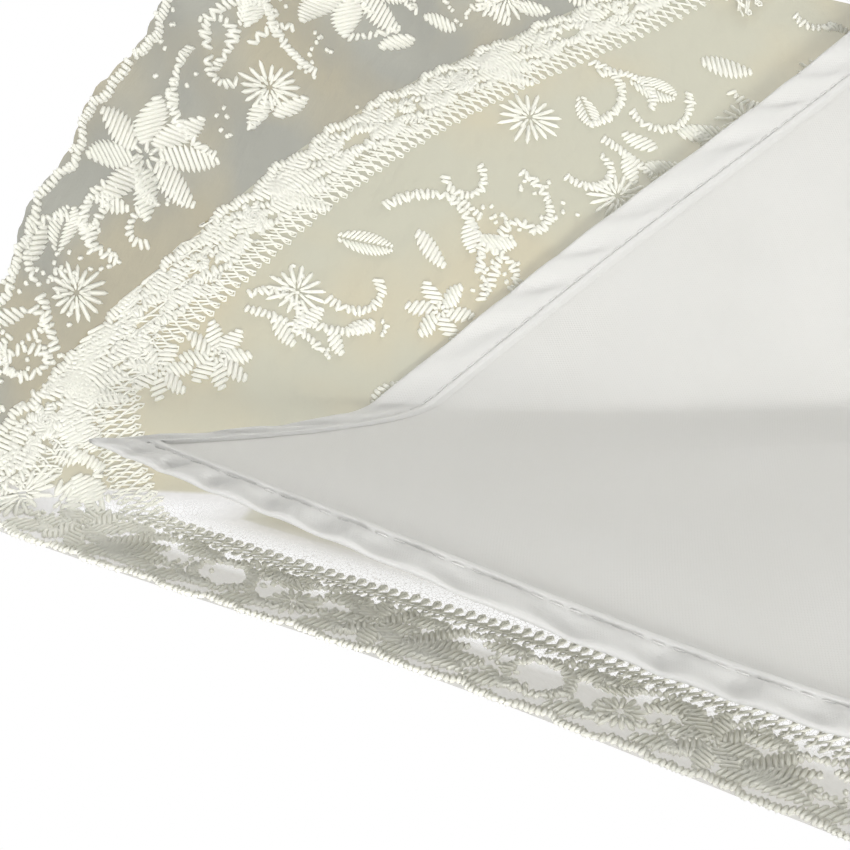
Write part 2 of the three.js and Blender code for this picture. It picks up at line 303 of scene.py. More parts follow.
def cotton_material(name, shade, through):
    """White plain-weave cotton, which lets some light through: less where it lies double."""
    low, high = (shade * np.array(tint) for tint in ((0.90, 0.895, 0.87), (0.955, 0.95, 0.935)))
    material, tree, shader = new_material(name, high, 0.85, Sheen_Weight=0.25)
    threads = []
    for direction in ("X", "Y"):
        place = coordinates(tree)
        wave = add_node(tree, "TexWave", Vector=place, Scale=900, Distortion=1.2, Detail_Scale=300)
        wave.bands_direction = direction
        threads.append(wave.outputs["Fac"])
    add_bump(tree, shader, combine(tree, "MULTIPLY", *threads), 0.25, 0.0002)
    feed(tree, shader, Base_Color=mix_colours(tree, noise(tree, 60), low, high))
    add_translucency(tree, shader, (0.97, 0.955, 0.91), through)
    return material


def net_material(name, cool, warm):
    """The lace's ground: an open net of fine threads that turns into a closer gauze."""
    material, tree, shader = new_material(name, cool, 0.8, Sheen_Weight=0.15)
    cells = add_node(tree, "TexVoronoi", Vector=coordinates(tree), Scale=1500)
    cells.feature = "DISTANCE_TO_EDGE"
    threads = ramp_between(tree, cells.outputs["Distance"], 0.075, 0.03, 0.0, 0.6)
    patch = ramp_between(tree, noise(tree, 38, 2.5), 0.42, 0.60, 0.0, 1.0)
    cover = add_node(tree, "Attribute")
    cover.attribute_name = "cover"
    close = ramp_between(tree, cover.outputs["Fac"], OPEN_COVER, 0.98, 0.0, 1.0)
    # The open net's pale lavender is a painted sheen, made bright to lift the shade on its side of the rib.
    tint = mix_colours(tree, close, (0.74, 0.735, 0.77), mix_colours(tree, patch, cool, warm))
    feed(tree, shader, Base_Color=tint)
    add_bump(tree, shader, noise(tree, 110, 6.0, (1, 1, 2.2)), 0.8, 0.0022)
    cloth = add_translucency(tree, shader, (0.80, 0.76, 0.60), 0.35)
    gauze = ramp_between(tree, cover.outputs["Fac"], 0.0, 1.0, 0.03, 0.86)
    share = combine(tree, "MAXIMUM", threads, gauze)
    clear = add_node(tree, "BsdfTransparent").outputs["BSDF"]
    feed(tree, tree.nodes["Material Output"], Surface=mix_shaders(tree, share, clear, cloth))
    return material


def thread_material():
    """Ivory embroidery cotton, soft and slightly fuzzy."""
    material, tree, shader = new_material("lace_thread", (0.95, 0.945, 0.88), 0.62, Sheen_Weight=0.35)
    tint = mix_colours(tree, noise(tree, 120), (0.91, 0.905, 0.82), (0.975, 0.97, 0.91))
    feed(tree, shader, Base_Color=tint)
    add_bump(tree, shader, noise(tree, 2600, 4.0), 0.5, 0.0001)
    add_translucency(tree, shader, (0.97, 0.955, 0.87), 0.25)
    return material


def metal_material(name, colour, dark, roughness):
    """Plated metal with fine drawing marks and a little tarnish."""
    material, tree, shader = new_material(name, colour, roughness, Metallic=1.0)
    marks = noise(tree, 300, 4.0, (1, 1, 0.08))
    worn = ramp_between(tree, marks, 0.3, 0.7, roughness - 0.08, roughness + 0.12)
    feed(tree, shader, Base_Color=mix_colours(tree, noise(tree, 90), dark, colour), Roughness=worn)
    add_bump(tree, shader, marks, 0.15, 0.0001)
    return material


def wood_material():
    """Pale waxed beech: long grain with short darker flecks."""
    material, tree, shader = new_material("turned_wood", (0.7, 0.5, 0.3), 0.42, Coat_Weight=0.25)
    grain = noise(tree, 55, 6.0, (1, 1, 0.12))
    flecks = ramp_between(tree, noise(tree, 420, 2.0, (1, 1, 0.16)), 0.60, 0.72, 0.0, 0.55)
    pale = mix_colours(tree, grain, (0.52, 0.335, 0.175), (0.74, 0.55, 0.345))
    feed(tree, shader, Base_Color=mix_colours(tree, flecks, pale, (0.40, 0.24, 0.12)))
    add_bump(tree, shader, grain, 0.2, 0.0002)
    return material


def lacquer_material(name, colour, dark, roughness):
    """Ivory enamel or moulded plastic: even, glossy, with faint unevenness."""
    material, tree, shader = new_material(name, colour, roughness, Coat_Weight=0.4)
    feed(tree, shader, Base_Color=mix_colours(tree, noise(tree, 70), dark, colour))
    add_bump(tree, shader, noise(tree, 700), 0.08, 0.0001)
    return material


def dress_frame():
    """Gives every CAD node that stays visible its finish."""
    finishes = {
        "rib_steel": metal_material("rib_steel", (0.68, 0.69, 0.70), (0.56, 0.57, 0.58), 0.30),
        "fitting_brass": metal_material("fitting_brass", (0.80, 0.60, 0.29), (0.66, 0.47, 0.20), 0.24),
        "shaft_paint": lacquer_material("shaft_paint", (0.86, 0.83, 0.74), (0.82, 0.785, 0.69), 0.32),
        "tip_plastic": lacquer_material("tip_plastic", (0.85, 0.81, 0.70), (0.80, 0.755, 0.63), 0.28),
        "turned_wood": wood_material(),
    }
    for part in frame["record"]["subparts"]:
        if part["material_slot"] in finishes:
            mesh = frame["nodes"][part["node"]].data
            mesh.materials.clear()
            mesh.materials.append(finishes[part["material_slot"]])


# --- The lining -----------------------------------------------------------------------------------


def hem_rows():
    """Distances from the edge at which the lining has a row of points: close in the hem."""
    in_hem = np.array([0, 0.03, 0.09, 0.17, 0.28, 0.4, 0.53, 0.66, 0.76, 0.82, 0.85, 0.88, 0.91, 0.95, 1.0])
    beyond = np.array([0.15, 0.6, 1.4, 2.6, 4.2, 6.5])
    return np.concatenate([in_hem * HEM_WIDTH, HEM_WIDTH + beyond])


def lining_grid():
    w = np.linspace(-1, 1, 301)
    edge = edge_curve(LINING, w)
    hem = hem_rows()
    inner_end = LINING["start"] - PIVOT_R
    body = np.linspace(1, 0, 44)[1:] ** 0.9
    rows = [edge - depth * EDGE_LEAN for depth in hem]
    last = rows[-1]
    rows += [inner_end + (last - inner_end) * share for share in body]
    along = np.array(rows)
    depth = (edge - along) / EDGE_LEAN
    return np.broadcast_to(w, along.shape), along, depth


def lining_relief(w, along, depth):
    """Lift of the lining's two faces, outer and inner, from its own surface."""
    table = np.linspace(0, 1, 200)
    edge_points, _ = canopy(table, edge_curve(LINING, table), LINING["lift"])
    length = np.concatenate([[0], np.cumsum(np.linalg.norm(np.diff(edge_points, axis=0), axis=1))])
    run = np.interp(np.abs(w), table, length) + depth * np.where(w < 0, 1.3, -0.8) + 3 * np.sin(w * 17)
    pitch = np.where(w < 0, 1.0, 1.25) * PUCKER_PITCH
    wave = 0.5 + 0.5 * np.sin(run * 2 * math.pi / pitch) + 0.1 * np.sin(run * 2 * math.pi / 6.4 + 1.0)
    in_hem = np.clip(depth / HEM_STITCH, 0, 1)
    fade = (np.sin(in_hem * math.pi) + 0.3 * (1 - in_hem) + 0.08) * np.where(w < 0, 1.0, 0.8)
    fade = fade * np.exp(-np.clip(depth - HEM_STITCH, 0, None) / 2.5)
    pucker = PUCKER * np.clip(wave, 0, None) ** 1.5 * fade
    ripple = soft_noise(w * 150, along, 85.0, 110.0, 5) * 0.35
    roll = np.clip(depth / 1.2, 0, 1)
    fold = np.where(depth < HEM_WIDTH + 0.02, HEM_FOLD * np.sqrt(roll * (2 - roll)) + 0.15, 0.0)
    stitched = 0.6 * np.exp(-(((depth - HEM_STITCH) / 0.35) ** 2))
    inner = -0.2 - fold + stitched + pucker + ripple
    outer = 0.15 + pucker * 0.7 + ripple - 0.5 * stitched
    return outer, inner


def add_lining(cotton, hem):
    w, along, depth = lining_grid()
    surface, normal = canopy(w, along, LINING["lift"], folded=True)
    lift_out, lift_in = lining_relief(w, along, depth)
    outer = surface + normal * lift_out[..., None]
    inner = surface + normal * lift_in[..., None]
    points, faces = sheet_solid(outer, inner)
    pieces = around_ribs("cotton_lining", points, faces, cotton)
    row = np.arange((w.shape[0] - 1) * (w.shape[1] - 1)) // (w.shape[1] - 1)
    in_hem = np.concatenate([row, row]) < (depth[:, 0] < HEM_WIDTH).sum()
    slots = np.concatenate([in_hem, np.zeros(len(faces) - len(in_hem), bool)]).astype(np.int32)
    for piece in pieces:
        piece.data.materials.append(hem)
        piece.data.polygons.foreach_set("material_index", slots)
    return pieces


# --- The lace -------------------------------------------------------------------------------------


def lace_grid():
    w = np.linspace(-1, 1, 241)
    edge = edge_curve(LACE, w)
    share = np.linspace(1, 0, 60)[:, None] ** 0.85
    inner_end = LACE["start"] - PIVOT_R
    along = inner_end + (edge[None, :] - inner_end) * share
    return np.broadcast_to(w, along.shape), along


def lace_wave(w, along):
    """The loose lace beyond the ribs' hold ripples a little."""
    edge = edge_curve(LACE, w)
    loose = np.clip(1 - (edge - along) / LOOSE_WIDTH, 0, 1) ** 1.5
    return loose * LOOSE_RIPPLE * np.sin(w * 9.0 + 0.6) * np.abs(w)


def lace_point(w, along):
    surface, normal = canopy(w, along, LACE["lift"])
    return surface + normal * lace_wave(w, along)[..., None], normal


def ground_cover(w, along):
    """How closely the lace's ground is woven: open net only round the border of one side."""
    inset = (edge_curve(LACE, w) - along) / EDGE_LEAN
    field = np.clip((inset - 27) / 12, 0, 1)
    border = OPEN_COVER * np.clip((BAND_INSET[-1] - inset) / 3, 0, 1)
    past_rib = np.clip((w - 0.01) / 0.02, 0, 1)
    return np.maximum(np.maximum(field * field * (3 - 2 * field), past_rib), border)


def set_cover(piece, cover):
    values = np.ascontiguousarray(cover, np.float32).ravel()
    piece.data.attributes.new("cover", "FLOAT", "POINT").data.foreach_set("value", values)


def add_net(net):
    w, along = lace_grid()
    points, _ = lace_point(w, along)
    pieces = around_ribs("lace_net", points, grid_faces(*w.shape), net)
    for piece in pieces:
        set_cover(piece, ground_cover(w, along))
    return pieces


# --- Charts of the lace ---------------------------------------------------------------------------
# The lace of one half gore is drawn flat and then laid on the canopy. The field chart is the
# half gore rolled out: (length down the gore's middle, distance from its middle). The border
# chart follows the edge: (length along it from the rib, distance in from it); below the edge,
# where that distance is negative, the lace hangs free as a flounce.


def half_gore_chart(side):
    along = np.linspace(0, 460, 1200)
    slope = CROWN_SLOPE + along / RIB_RADIUS
    rate = np.hypot(np.cos(slope) * math.cos(HALF_GORE), np.sin(slope))
    down = np.concatenate([[0], np.cumsum((rate[1:] + rate[:-1]) / 2 * np.diff(along))])
    w = np.linspace(0, 1, 500)
    edge = edge_curve(LACE, side * w)
    edge_x = np.interp(edge, along, down)
    edge_y = (1 - w) * rib_arc(edge, LACE["lift"])[0] * math.sin(HALF_GORE)
    step_x, step_y = np.gradient(edge_x), np.gradient(edge_y)
    step = np.hypot(step_x, step_y)
    length = np.concatenate([[0], np.cumsum(np.hypot(np.diff(edge_x), np.diff(edge_y)))])
    first = BORDER_START / (length[1] - length[0])
    length[0] = BORDER_START
    edge_x[0] += first * (edge_x[1] - edge_x[0])
    edge_y[0] += first * (edge_y[1] - edge_y[0])
    point, _ = lace_point(side * w, edge)
    run = np.gradient(point, axis=0)
    out = np.stack([run[:, 1], -run[:, 0], 0 * w], -1) * side
    return {
        "side": side,
        "along": along,
        "down": down,
        "length": length,
        "edge": np.stack([edge_x, edge_y], -1),
        "inward": np.stack([step_y / step, -step_x / step], -1),
        "point": point,
        "out": out / np.linalg.norm(out, axis=-1, keepdims=True),
    }


def interpolate(x, table_x, table):
    return np.stack([np.interp(x, table_x, column) for column in table.T], -1)


def place_in_field(chart, spots):
    """Canopy points and normals for spots of the field chart, and which lie on this half gore."""
    along = np.interp(spots[..., 0], chart["down"], chart["along"])
    half_width = rib_arc(along, LACE["lift"])[0] * math.sin(HALF_GORE)
    size = 1 - spots[..., 1] / half_width
    w = chart["side"] * size
    point, normal = lace_point(w, along)
    past_rib = 0.004 if chart["side"] > 0 else -0.4
    return point, normal, (size > past_rib) & (size < 1.12) & (along < edge_curve(LACE, w) + 0.8)


def place_on_border(chart, spots):
    run, inset = spots[..., 0], spots[..., 1]
    measures = (chart[key] for key in ("edge", "inward", "out"))
    start, inward, out = (interpolate(run, chart["length"], measure) for measure in measures)
    point, normal, kept = place_in_field(chart, start + inward * np.clip(inset, 0, None)[..., None])
    drop = np.clip(-inset, 0, None)
    pleat = FLOUNCE_PLEAT * (1 - np.exp(-drop / 12)) * np.sin(run * 2 * math.pi / 21 + 0.5)
    curl = FLOUNCE_CURL * (1 - np.exp(-drop / 4))
    point = point + out * (pleat + curl)[..., None]
    point[..., 2] -= drop
    hanging = np.clip(drop / 2.5, 0, 1)[..., None]
    normal = normal * (1 - hanging) + out * hanging
    normal = normal / np.linalg.norm(normal, axis=-1, keepdims=True)
    kept = kept & (run > chart["length"][0]) & (run < chart["length"][-1] + 0.5)
    kept = kept & ((drop == 0) | ((run > 0.3) & (drop < flounce_drop(chart, run) + 1.5)))
    return point, normal, kept


def flounce_drop(chart, run):
    """How far the flounce hangs below the edge: not at all at the rib and in mid-gore."""
    whole = chart["length"][-1]
    run = np.clip(run, 0, None)
    grown = FLOUNCE_DROP * (1 - np.exp(-run / 30)) + 0.22 * np.clip(run - 35, 0, None)
    grown = np.minimum(grown, FLOUNCE_MOST)
    fade = np.clip((whole - run) / 60, 0, 1)
    return grown * fade * fade * (3 - 2 * fade)


def flounce_grid(chart):
    run = np.linspace(0.4, chart["length"][-1] - 0.4, 150)
    share = np.linspace(0, 1, 16)[:, None]
    scallop = 0.6 * np.abs(np.sin(run * math.pi / SCALLOP_PITCH))
    inset = -share * (flounce_drop(chart, run) + 0.4 + scallop)
    return np.stack([np.broadcast_to(run, inset.shape), inset], -1)


def add_flounce(net, chart):
    spots = flounce_grid(chart)
    points, _, _ = place_on_border(chart, spots)
    pieces = around_ribs("lace_flounce", points, grid_faces(*spots.shape[:2]), net)
    for piece in pieces:
        set_cover(piece, np.ones(spots.shape[:2]))
    return pieces


def crown_rosette(material):
    """A gathered ring of lace under the ferrule, over the middle of the cover."""
    angle = np.linspace(0, 2 * math.pi, 361)
    share = np.linspace(0, 1, 22)[:, None]
    radius = ROSETTE["inner"] + (ROSETTE["outer"] - ROSETTE["inner"]) * share
    pleat = 1.3 * share * np.sin(angle * ROSETTE["pleats"]) + 0.5 * share**2 * np.sin(angle * 7 + 1)
    height = CROWN_Z + ROSETTE["above_pivots"] - 1.2 * share**2 + pleat
    scalloped = radius + 0.7 * share**6 * np.abs(np.sin(angle * ROSETTE["pleats"]))
    grid = np.stack([scalloped * np.cos(angle), scalloped * np.sin(angle), height], -1)
    thick = np.array([0, 0, 0.35])
    points, faces = sheet_solid(grid + thick, grid - thick)
    return make_mesh("crown_rosette", points, faces, material)


# --- Embroidery -----------------------------------------------------------------------------------
# A stitch is one row: x0, y0, x1, y1, thread radius, lift of its ends, how much its middle arches.


def stitch_rows(start, end, radius, lift=0.1, arch=0.5):
    start, end = np.atleast_2d(start), np.atleast_2d(end)
    count = len(start)
    rows = np.empty((count, 7))
    rows[:, 0:2] = start
    rows[:, 2:4] = end
    rows[:, 4], rows[:, 5], rows[:, 6] = radius, lift, arch
    return rows


def satin_leaf(root, angle, length, width, lean=0.5):
    """A padded leaf of threads laid across it, each a little aslant."""
    count = max(4, round(length / 0.9))
    share = (np.arange(count) + 0.5) / count
    half = width / 2 * np.sin(math.pi * share**0.8) ** 0.75 + 0.25
    axis, across = unit(angle), unit(angle + math.pi / 2)
    middle = np.asarray(root) + axis * (share * length)[:, None]
    slant = axis * (half * lean)[:, None]
    spread = across * half[:, None]
    return stitch_rows(middle - spread - slant, middle + spread + slant, 0.47, 0.05, 0.5)


def split_leaf(root, angle, length, width):
    """Threads that meet along a midrib, as in a feather."""
    count = max(5, round(length / 0.85))
    share = (np.arange(count) + 0.3) / count
    half = width / 2 * np.sin(math.pi * share**0.7) ** 0.7 + 0.2
    axis, across = unit(angle), unit(angle + math.pi / 2)
    middle = np.asarray(root) + axis * (share * length * 0.9)[:, None]
    rows = []
    for turn in (-1, 1):
        tip = middle + across * (turn * half)[:, None] + axis * (half * 0.75)[:, None]
        rows.append(stitch_rows(middle + across * 0.15 * turn, tip, 0.33, 0.1, 0.3))
    return np.concatenate(rows)


def daisy(centre, radius, spokes=17):
    angle = np.arange(spokes) * 2 * math.pi / spokes + rng.uniform(0, 1)
    reach = radius * rng.uniform(0.78, 1.05, spokes)
    near, far = unit(angle) * radius * 0.24, unit(angle) * reach[:, None]
    outer = stitch_rows(centre + near, centre + far, 0.44, 0.15, 0.35)
    inner = angle[::2] + 0.1
    ring = stitch_rows(centre + unit(inner) * 0.5, centre + unit(inner) * radius * 0.5, 0.3, 0.5, 0.1)
    return np.concatenate([outer, ring])


def star_flower(centre, radius, petals=8, width=0.42):
    rows = []
    turn = rng.uniform(0, 1)
    for k in range(petals):
        angle = turn + k * 2 * math.pi / petals
        length = radius * rng.uniform(0.72, 0.85)
        rows.append(satin_leaf(centre + unit(angle) * radius * 0.2, angle, length, radius * width))
    rows.append(daisy(centre, radius * 0.26, 7))
    return np.concatenate(rows)


def resample(path, pitch):
    path = np.asarray(path, float)
    length = np.concatenate([[0], np.cumsum(np.hypot(*np.diff(path, axis=0).T))])
    count = max(2, int(length[-1] / pitch))
    return interpolate(np.linspace(0, length[-1], count), length, path)


def vine(path, width=2.1, pitch=0.85, radius=0.46):
    """A corded line: short fat stitches across it, turned this way and that."""
    spots = resample(path, pitch)
    run = np.gradient(spots, axis=0)
    heading = np.arctan2(run[:, 1], run[:, 0])
    turn = heading + math.pi / 2 + rng.uniform(-0.75, 0.75, len(spots))
    half = unit(turn) * (width / 2 * rng.uniform(0.65, 1.15, len(spots)))[:, None]
    return stitch_rows(spots - half, spots + half, radius, 0.1, 0.4)


def curl_path(start, angle, length, bend, points=14):
    """A path that turns by bend radians over its length, tighter towards its end."""
    share = np.linspace(0, 1, points)
    heading = angle + bend * share**1.4
    step = unit(heading) * (length / points)
    return np.asarray(start) + np.cumsum(step, axis=0)


def stem(root, angle, length, bend):
    return vine(curl_path(root, angle, length, bend))


def knots(centre, count, spread):
    spots = centre + rng.normal(0, spread, (count, 2))
    half = unit(rng.uniform(0, math.pi, count)) * 0.45
    return stitch_rows(spots - half, spots + half, 0.42, 0.15, 0.25)


def sprig(root, angle, size):
    """Two leaves, a stem with a curl and a cluster of knots."""
    path = curl_path(root, angle, size * 1.5, rng.uniform(-1.2, 1.2))
    rows = [vine(path)]
    for turn, share in ((0.8, 0.3), (-0.9, 0.6)):
        joint = path[int(share * len(path))]
        rows.append(satin_leaf(joint, angle + turn, size * 0.62, size * 0.3))
    rows.append(knots(path[-1] + unit(angle) * 1.5, 5, 1.1))
    return np.concatenate(rows)


def tendril(root, angle, size):
    bend = rng.choice([-1, 1]) * rng.uniform(2.2, 4.0)
    rows = [stem(root, angle, size * 2.2, bend)]
    rows.append(knots(np.asarray(root) + unit(angle + 0.5) * size * 0.5, 4, 1.2))
    return np.concatenate(rows)


def looped_band(length, middle, phase, reach=BAND_REACH, pitch=BAND_PITCH):
    """One thread that swings to and fro across a band, with a small loop at each turn."""
    first = BORDER_START / pitch * 2 * math.pi
    turn = np.arange(first, length / pitch * 2 * math.pi, math.pi / 5) + phase
    swing = reach * (1 + 0.12 * np.sin(turn * 0.37))
    x = turn / (2 * math.pi) * pitch + 0.55 * np.sin(2 * turn) + 0.9 * np.sin(turn)
    return np.stack([x, middle + swing * np.sin(turn)], -1)


def edge_cord(length, depth=0.7, swell=1.2):
    """The lip of the border: packed stitches that follow small scallops on longer ones."""
    run = np.arange(BORDER_START, length, 0.8)
    bump = depth * np.abs(np.sin(run * math.pi / SCALLOP_PITCH))
    bump = bump + swell * np.sin(run * math.pi / BORDER_REPEAT) ** 2
    middle = np.stack([run, 1.85 - bump], -1)
    turn = math.pi / 2 + rng.uniform(-0.35, 0.35, len(run))
    half = unit(turn) * 0.95
    return stitch_rows(middle - half, middle + half, 0.5, 0.05, 0.5)


def border_repeat(length, first, last):
    """The border's own pattern: flowers, leaf fans, loops of cord and knots, packed closely."""
    rows = [edge_cord(length)]
    middle, half = (first + last) / 2, (last - first) / 2
    pattern = ("flower", "fan", "loop", "spray")
    for k, centre_x in enumerate(np.arange(9.0 - 3 * BORDER_REPEAT, length, BORDER_REPEAT)):
        kind = pattern[k % len(pattern)]
        centre = np.array([centre_x, middle])
        if kind == "flower":
            rows.append(star_flower(centre, half * 1.02, 8, 0.45))
        elif kind == "fan":
            root = centre + (-7, -half * 0.5)
            for turn in (-0.12, 0.22, 0.55, 0.95):
                rows.append(satin_leaf(root, turn, 12 * rng.uniform(0.8, 1), 3.4))
        elif kind == "loop":
            ring = np.linspace(0, 2 * math.pi, 22)
            shape = unit(ring) * (4.6, half * 0.62)
            rows.append(vine(centre + shape, 2.3))
            rows.append(knots(centre + (5.5, half * 0.5), 6, 1.1))
        else:
            rows.append(daisy(centre + (0, -half * 0.2), half * 0.62, 15))
            rows.append(split_leaf(centre + (-6, half * 0.4), 0.4, 8, 4.2))
            rows.append(stem(centre + (2, half * 0.2), 0.6, 11, -2.4))
        bridge = np.stack([np.linspace(-8, 8, 12), 1.3 * np.sin(np.linspace(0, 6.3, 12))], -1)
        rows.append(vine(centre + (7, half * 0.72) + bridge * (0.75, 0.8), 1.8))
        rows.append(vine(centre + (7, -half * 0.45) + bridge * (0.6, 1.1), 1.8))
        rows.append(knots(centre + (6.2, 0), 9, 1.9))
        rows.append(satin_leaf(centre + (3, -half * 0.75), 0.15, 7.5, 3.2))
        rows.append(satin_leaf(centre + (-3, half * 0.7), 3.3, 7, 3.0))
    return np.concatenate(rows)


def scatter(candidates, taken, spacing):
    """Keeps the candidates, in order, that are at least spacing from all that are taken."""
    spots = list(taken)
    for spot in candidates:
        if not spots or np.hypot(*(np.array(spots) - spot).T).min() > spacing:
            spots.append(spot)
    return np.array(spots[len(taken):])


def field_spots(chart, inset, count, draw):
    """Random spots of the field chart that lie on this half gore, well in from its edge."""
    spots = np.stack([draw.uniform(32, 350, count), draw.uniform(0, 150, count)], -1)
    _, _, kept = place_in_field(chart, spots)
    edge = chart["edge"][1:]
    to_edge = np.hypot(*(spots[:, None] - edge[None, ::8]).transpose(2, 0, 1)).min(axis=1)
    within = spots[:, 0] < np.interp(spots[:, 1], edge[::-1, 1], edge[::-1, 0])
    from_tip = np.hypot(*(spots - chart["edge"][1]).T)
    return spots[kept & within & (to_edge > inset) & (from_tip > TIP_CLEAR)]


def field_pattern(inset, chart):
    """Motifs scattered evenly over the rest of the half gore, up to the crown, with small ones between."""
    draw = np.random.default_rng(19)
    large = scatter(field_spots(chart, inset, 4000, draw), [], 14.5)
    small = scatter(field_spots(chart, inset - 4, 4000, draw), large, 9.4)
    rows = []
    for k, spot in enumerate(large):
        angle = draw.uniform(0, 2 * math.pi)
        kind = k % 4
        if kind == 0:
            rows.append(daisy(spot, 5.6))
            rows.append(stem(spot + unit(angle) * 6.5, angle, 12, 2.6))
        elif kind == 1:
            rows.append(sprig(spot - unit(angle) * 5, angle, 10))
        elif kind == 2:
            rows.append(tendril(spot, angle, 7))
            rows.append(split_leaf(spot, angle + 2.4, 8, 4))
        else:
            rows.append(star_flower(spot, 6.2, 6, 0.45))
            rows.append(knots(spot + unit(angle) * 8, 6, 1.4))
    for k, spot in enumerate(small):
        rows.append(small_motif(k % 3, spot, draw.uniform(0, 2 * math.pi)))
    return np.concatenate(rows)


def small_motif(kind, spot, angle):
    if kind == 0:
        return stem(spot - unit(angle) * 4, angle, 9, rng.uniform(-2.5, 2.5))
    if kind == 1:
        return satin_leaf(spot - unit(angle) * 3, angle, 6.5, 3.2)
    return knots(spot, 6, 1.5)


THREAD_SIDES = 4
STITCH_SHARE = np.array([0.0, 0.17, 0.83, 1.0])  # where a stitch has its rings, from end to end
STITCH_SIZE = np.array([0.15, 0.92, 0.92, 0.15])  # their radius, of the thread's own


def ring_tube(centre, normal, run, radius):
    """Vertices of tubes: centre is (tubes, rings, 3) and radius (tubes, rings)."""
    run = run / (np.linalg.norm(run, axis=-1, keepdims=True) + 1e-9)
    side = np.cross(run, normal)
    side = side / (np.linalg.norm(side, axis=-1, keepdims=True) + 1e-9)
    up = np.cross(side, run)
    angle = np.arange(THREAD_SIDES) * 2 * math.pi / THREAD_SIDES
    wheel = np.cos(angle)[:, None] * side[..., None, :] + np.sin(angle)[:, None] * up[..., None, :]
    return centre[..., None, :] + wheel * radius[..., None, None]


def tube_faces(tubes, rings):
    index = np.arange(tubes * rings * THREAD_SIDES).reshape(tubes, rings, THREAD_SIDES)
    after = np.roll(index, -1, axis=2)
    quads = np.stack([index[:, :-1], after[:, :-1], after[:, 1:], index[:, 1:]], -1)
    return quads.reshape(-1, 4)


def stitch_tubes(centre, normal, radius):
    """Points and faces of stitches whose rings lie at centre, an array of (stitches, rings, 3)."""
    sizes = np.reshape(radius, (-1, 1)) * STITCH_SIZE
    points = ring_tube(centre, normal, np.gradient(centre, axis=1), sizes)
    return points.reshape(-1, 3), tube_faces(*centre.shape[:2])


def stitches_to_tubes(chart, rows, place):
    share = STITCH_SHARE
    spots = rows[:, None, 0:2] * (1 - share)[:, None] + rows[:, None, 2:4] * share[:, None]
    point, normal, kept = place(chart, spots)
    keep = kept.all(axis=1)
    rows, point, normal = rows[keep], point[keep], normal[keep]
    lift = rows[:, 5, None] + rows[:, 6, None] * 0.7 * 4 * share * (1 - share)
    return stitch_tubes(point - normal * lift[..., None], normal, rows[:, 4])


def thread_to_tube(chart, path, radius, place):
    point, normal, kept = place(chart, path)
    point, normal = point[kept], normal[kept]
    ripple = 0.15 + 0.3 * np.sin(np.arange(len(point)) * 1.26)
    centre = point - normal * ripple[:, None]
    thick = np.full((1, len(point)), radius)
    points = ring_tube(centre[None], normal[None], np.gradient(centre, axis=0)[None], thick)
    return points.reshape(-1, 3), tube_faces(1, len(point))


def gather(parts):
    points, faces, first = [], [], 0
    for part_points, part_faces in parts:
        points.append(part_points)
        faces.append(part_faces + first)
        first += len(part_points)
    return np.concatenate(points), np.concatenate(faces)


# --- The lining's stitches ------------------------------------------------------------------------


def lining_spots(w, depth):
    """Points just inside the lining's inner face, at a depth in from its edge, and normals."""
    along = edge_curve(LINING, w) - depth * EDGE_LEAN
    surface, normal = canopy(w, along, LINING["lift"], folded=True)
    _, lift = lining_relief(w, along, np.full(w.shape, depth))
    return surface + normal * (lift - 0.1)[..., None], normal


def hem_stitches():
    """Running stitches of white thread along the lining's hem."""
    start = np.arange(-0.985, 0.985, 0.0172)
    w = start[:, None] + STITCH_SHARE * 0.0128
    centre, normal = lining_spots(w, HEM_STITCH)
    arch = 0.25 * np.sin(math.pi * STITCH_SHARE)
    return stitch_tubes(centre - normal * arch[:, None], normal, 0.2)


def eyelet_stitches():
    """Buttonhole stitches round the opening that the stretcher's joiner comes through."""
    angle = np.arange(0, 2 * math.pi, 0.2)
    reach = 1 + 0.28 * STITCH_SHARE
    along = JOINER_ALONG + EYELET_LENGTH / 2 * np.cos(angle)[:, None] * reach
    half_width = rib_arc(along, LINING["lift"])[0] * math.sin(HALF_GORE)
    w = EYELET_WIDTH / 2 * np.sin(angle)[:, None] * reach / half_width
    centre, normal = canopy(w, along, LINING["lift"], folded=True)
    return stitch_tubes(centre - normal * 0.55, normal, 0.42)


# --- Patterns of the embroidery -------------------------------------------------------------------


def flounce_pattern(chart):
    """Large flowers, vines and a corded lip on the flounce."""
    length = chart["length"][-1]
    lip = edge_cord(length)
    for column in (0, 2):
        lip[:, column + 1] = 1.2 - lip[:, column + 1] - flounce_drop(chart, lip[:, column])
    rows = [lip]
    draw = np.random.default_rng(23)
    for spot in draw.uniform((20, 0.12), (length - 12, 0.85), (70, 2)):
        at = spot * (1, -float(flounce_drop(chart, spot[0])))
        rows.append(small_motif(draw.integers(3), at, draw.uniform(0, 6.28)))
    for k, x in enumerate(np.arange(16.0, length - 20, 25.0)):
        drop = float(flounce_drop(chart, x))
        centre = np.array([x, -drop * 0.55])
        size = min(12.0, drop * 0.48)
        if k % 2 == 0:
            rows.append(star_flower(centre, size, 8, 0.4))
        else:
            rows.append(daisy(centre + (0, drop * 0.2), 5.5, 17))
            rows.append(stem(centre + (-4, -drop * 0.1), -1.2, 20, 2.8))
            rows.append(split_leaf(centre + (3, -drop * 0.15), -0.6, 9, 4.5))
        rows.append(stem(centre + (9, drop * 0.3), -1.9, drop * 0.9, 1.9))
        rows.append(knots(centre + (12, -drop * 0.25), 9, 2.2))
        rows.append(knots(centre + (-8, -drop * 0.35), 7, 1.8))
    return np.concatenate(rows)


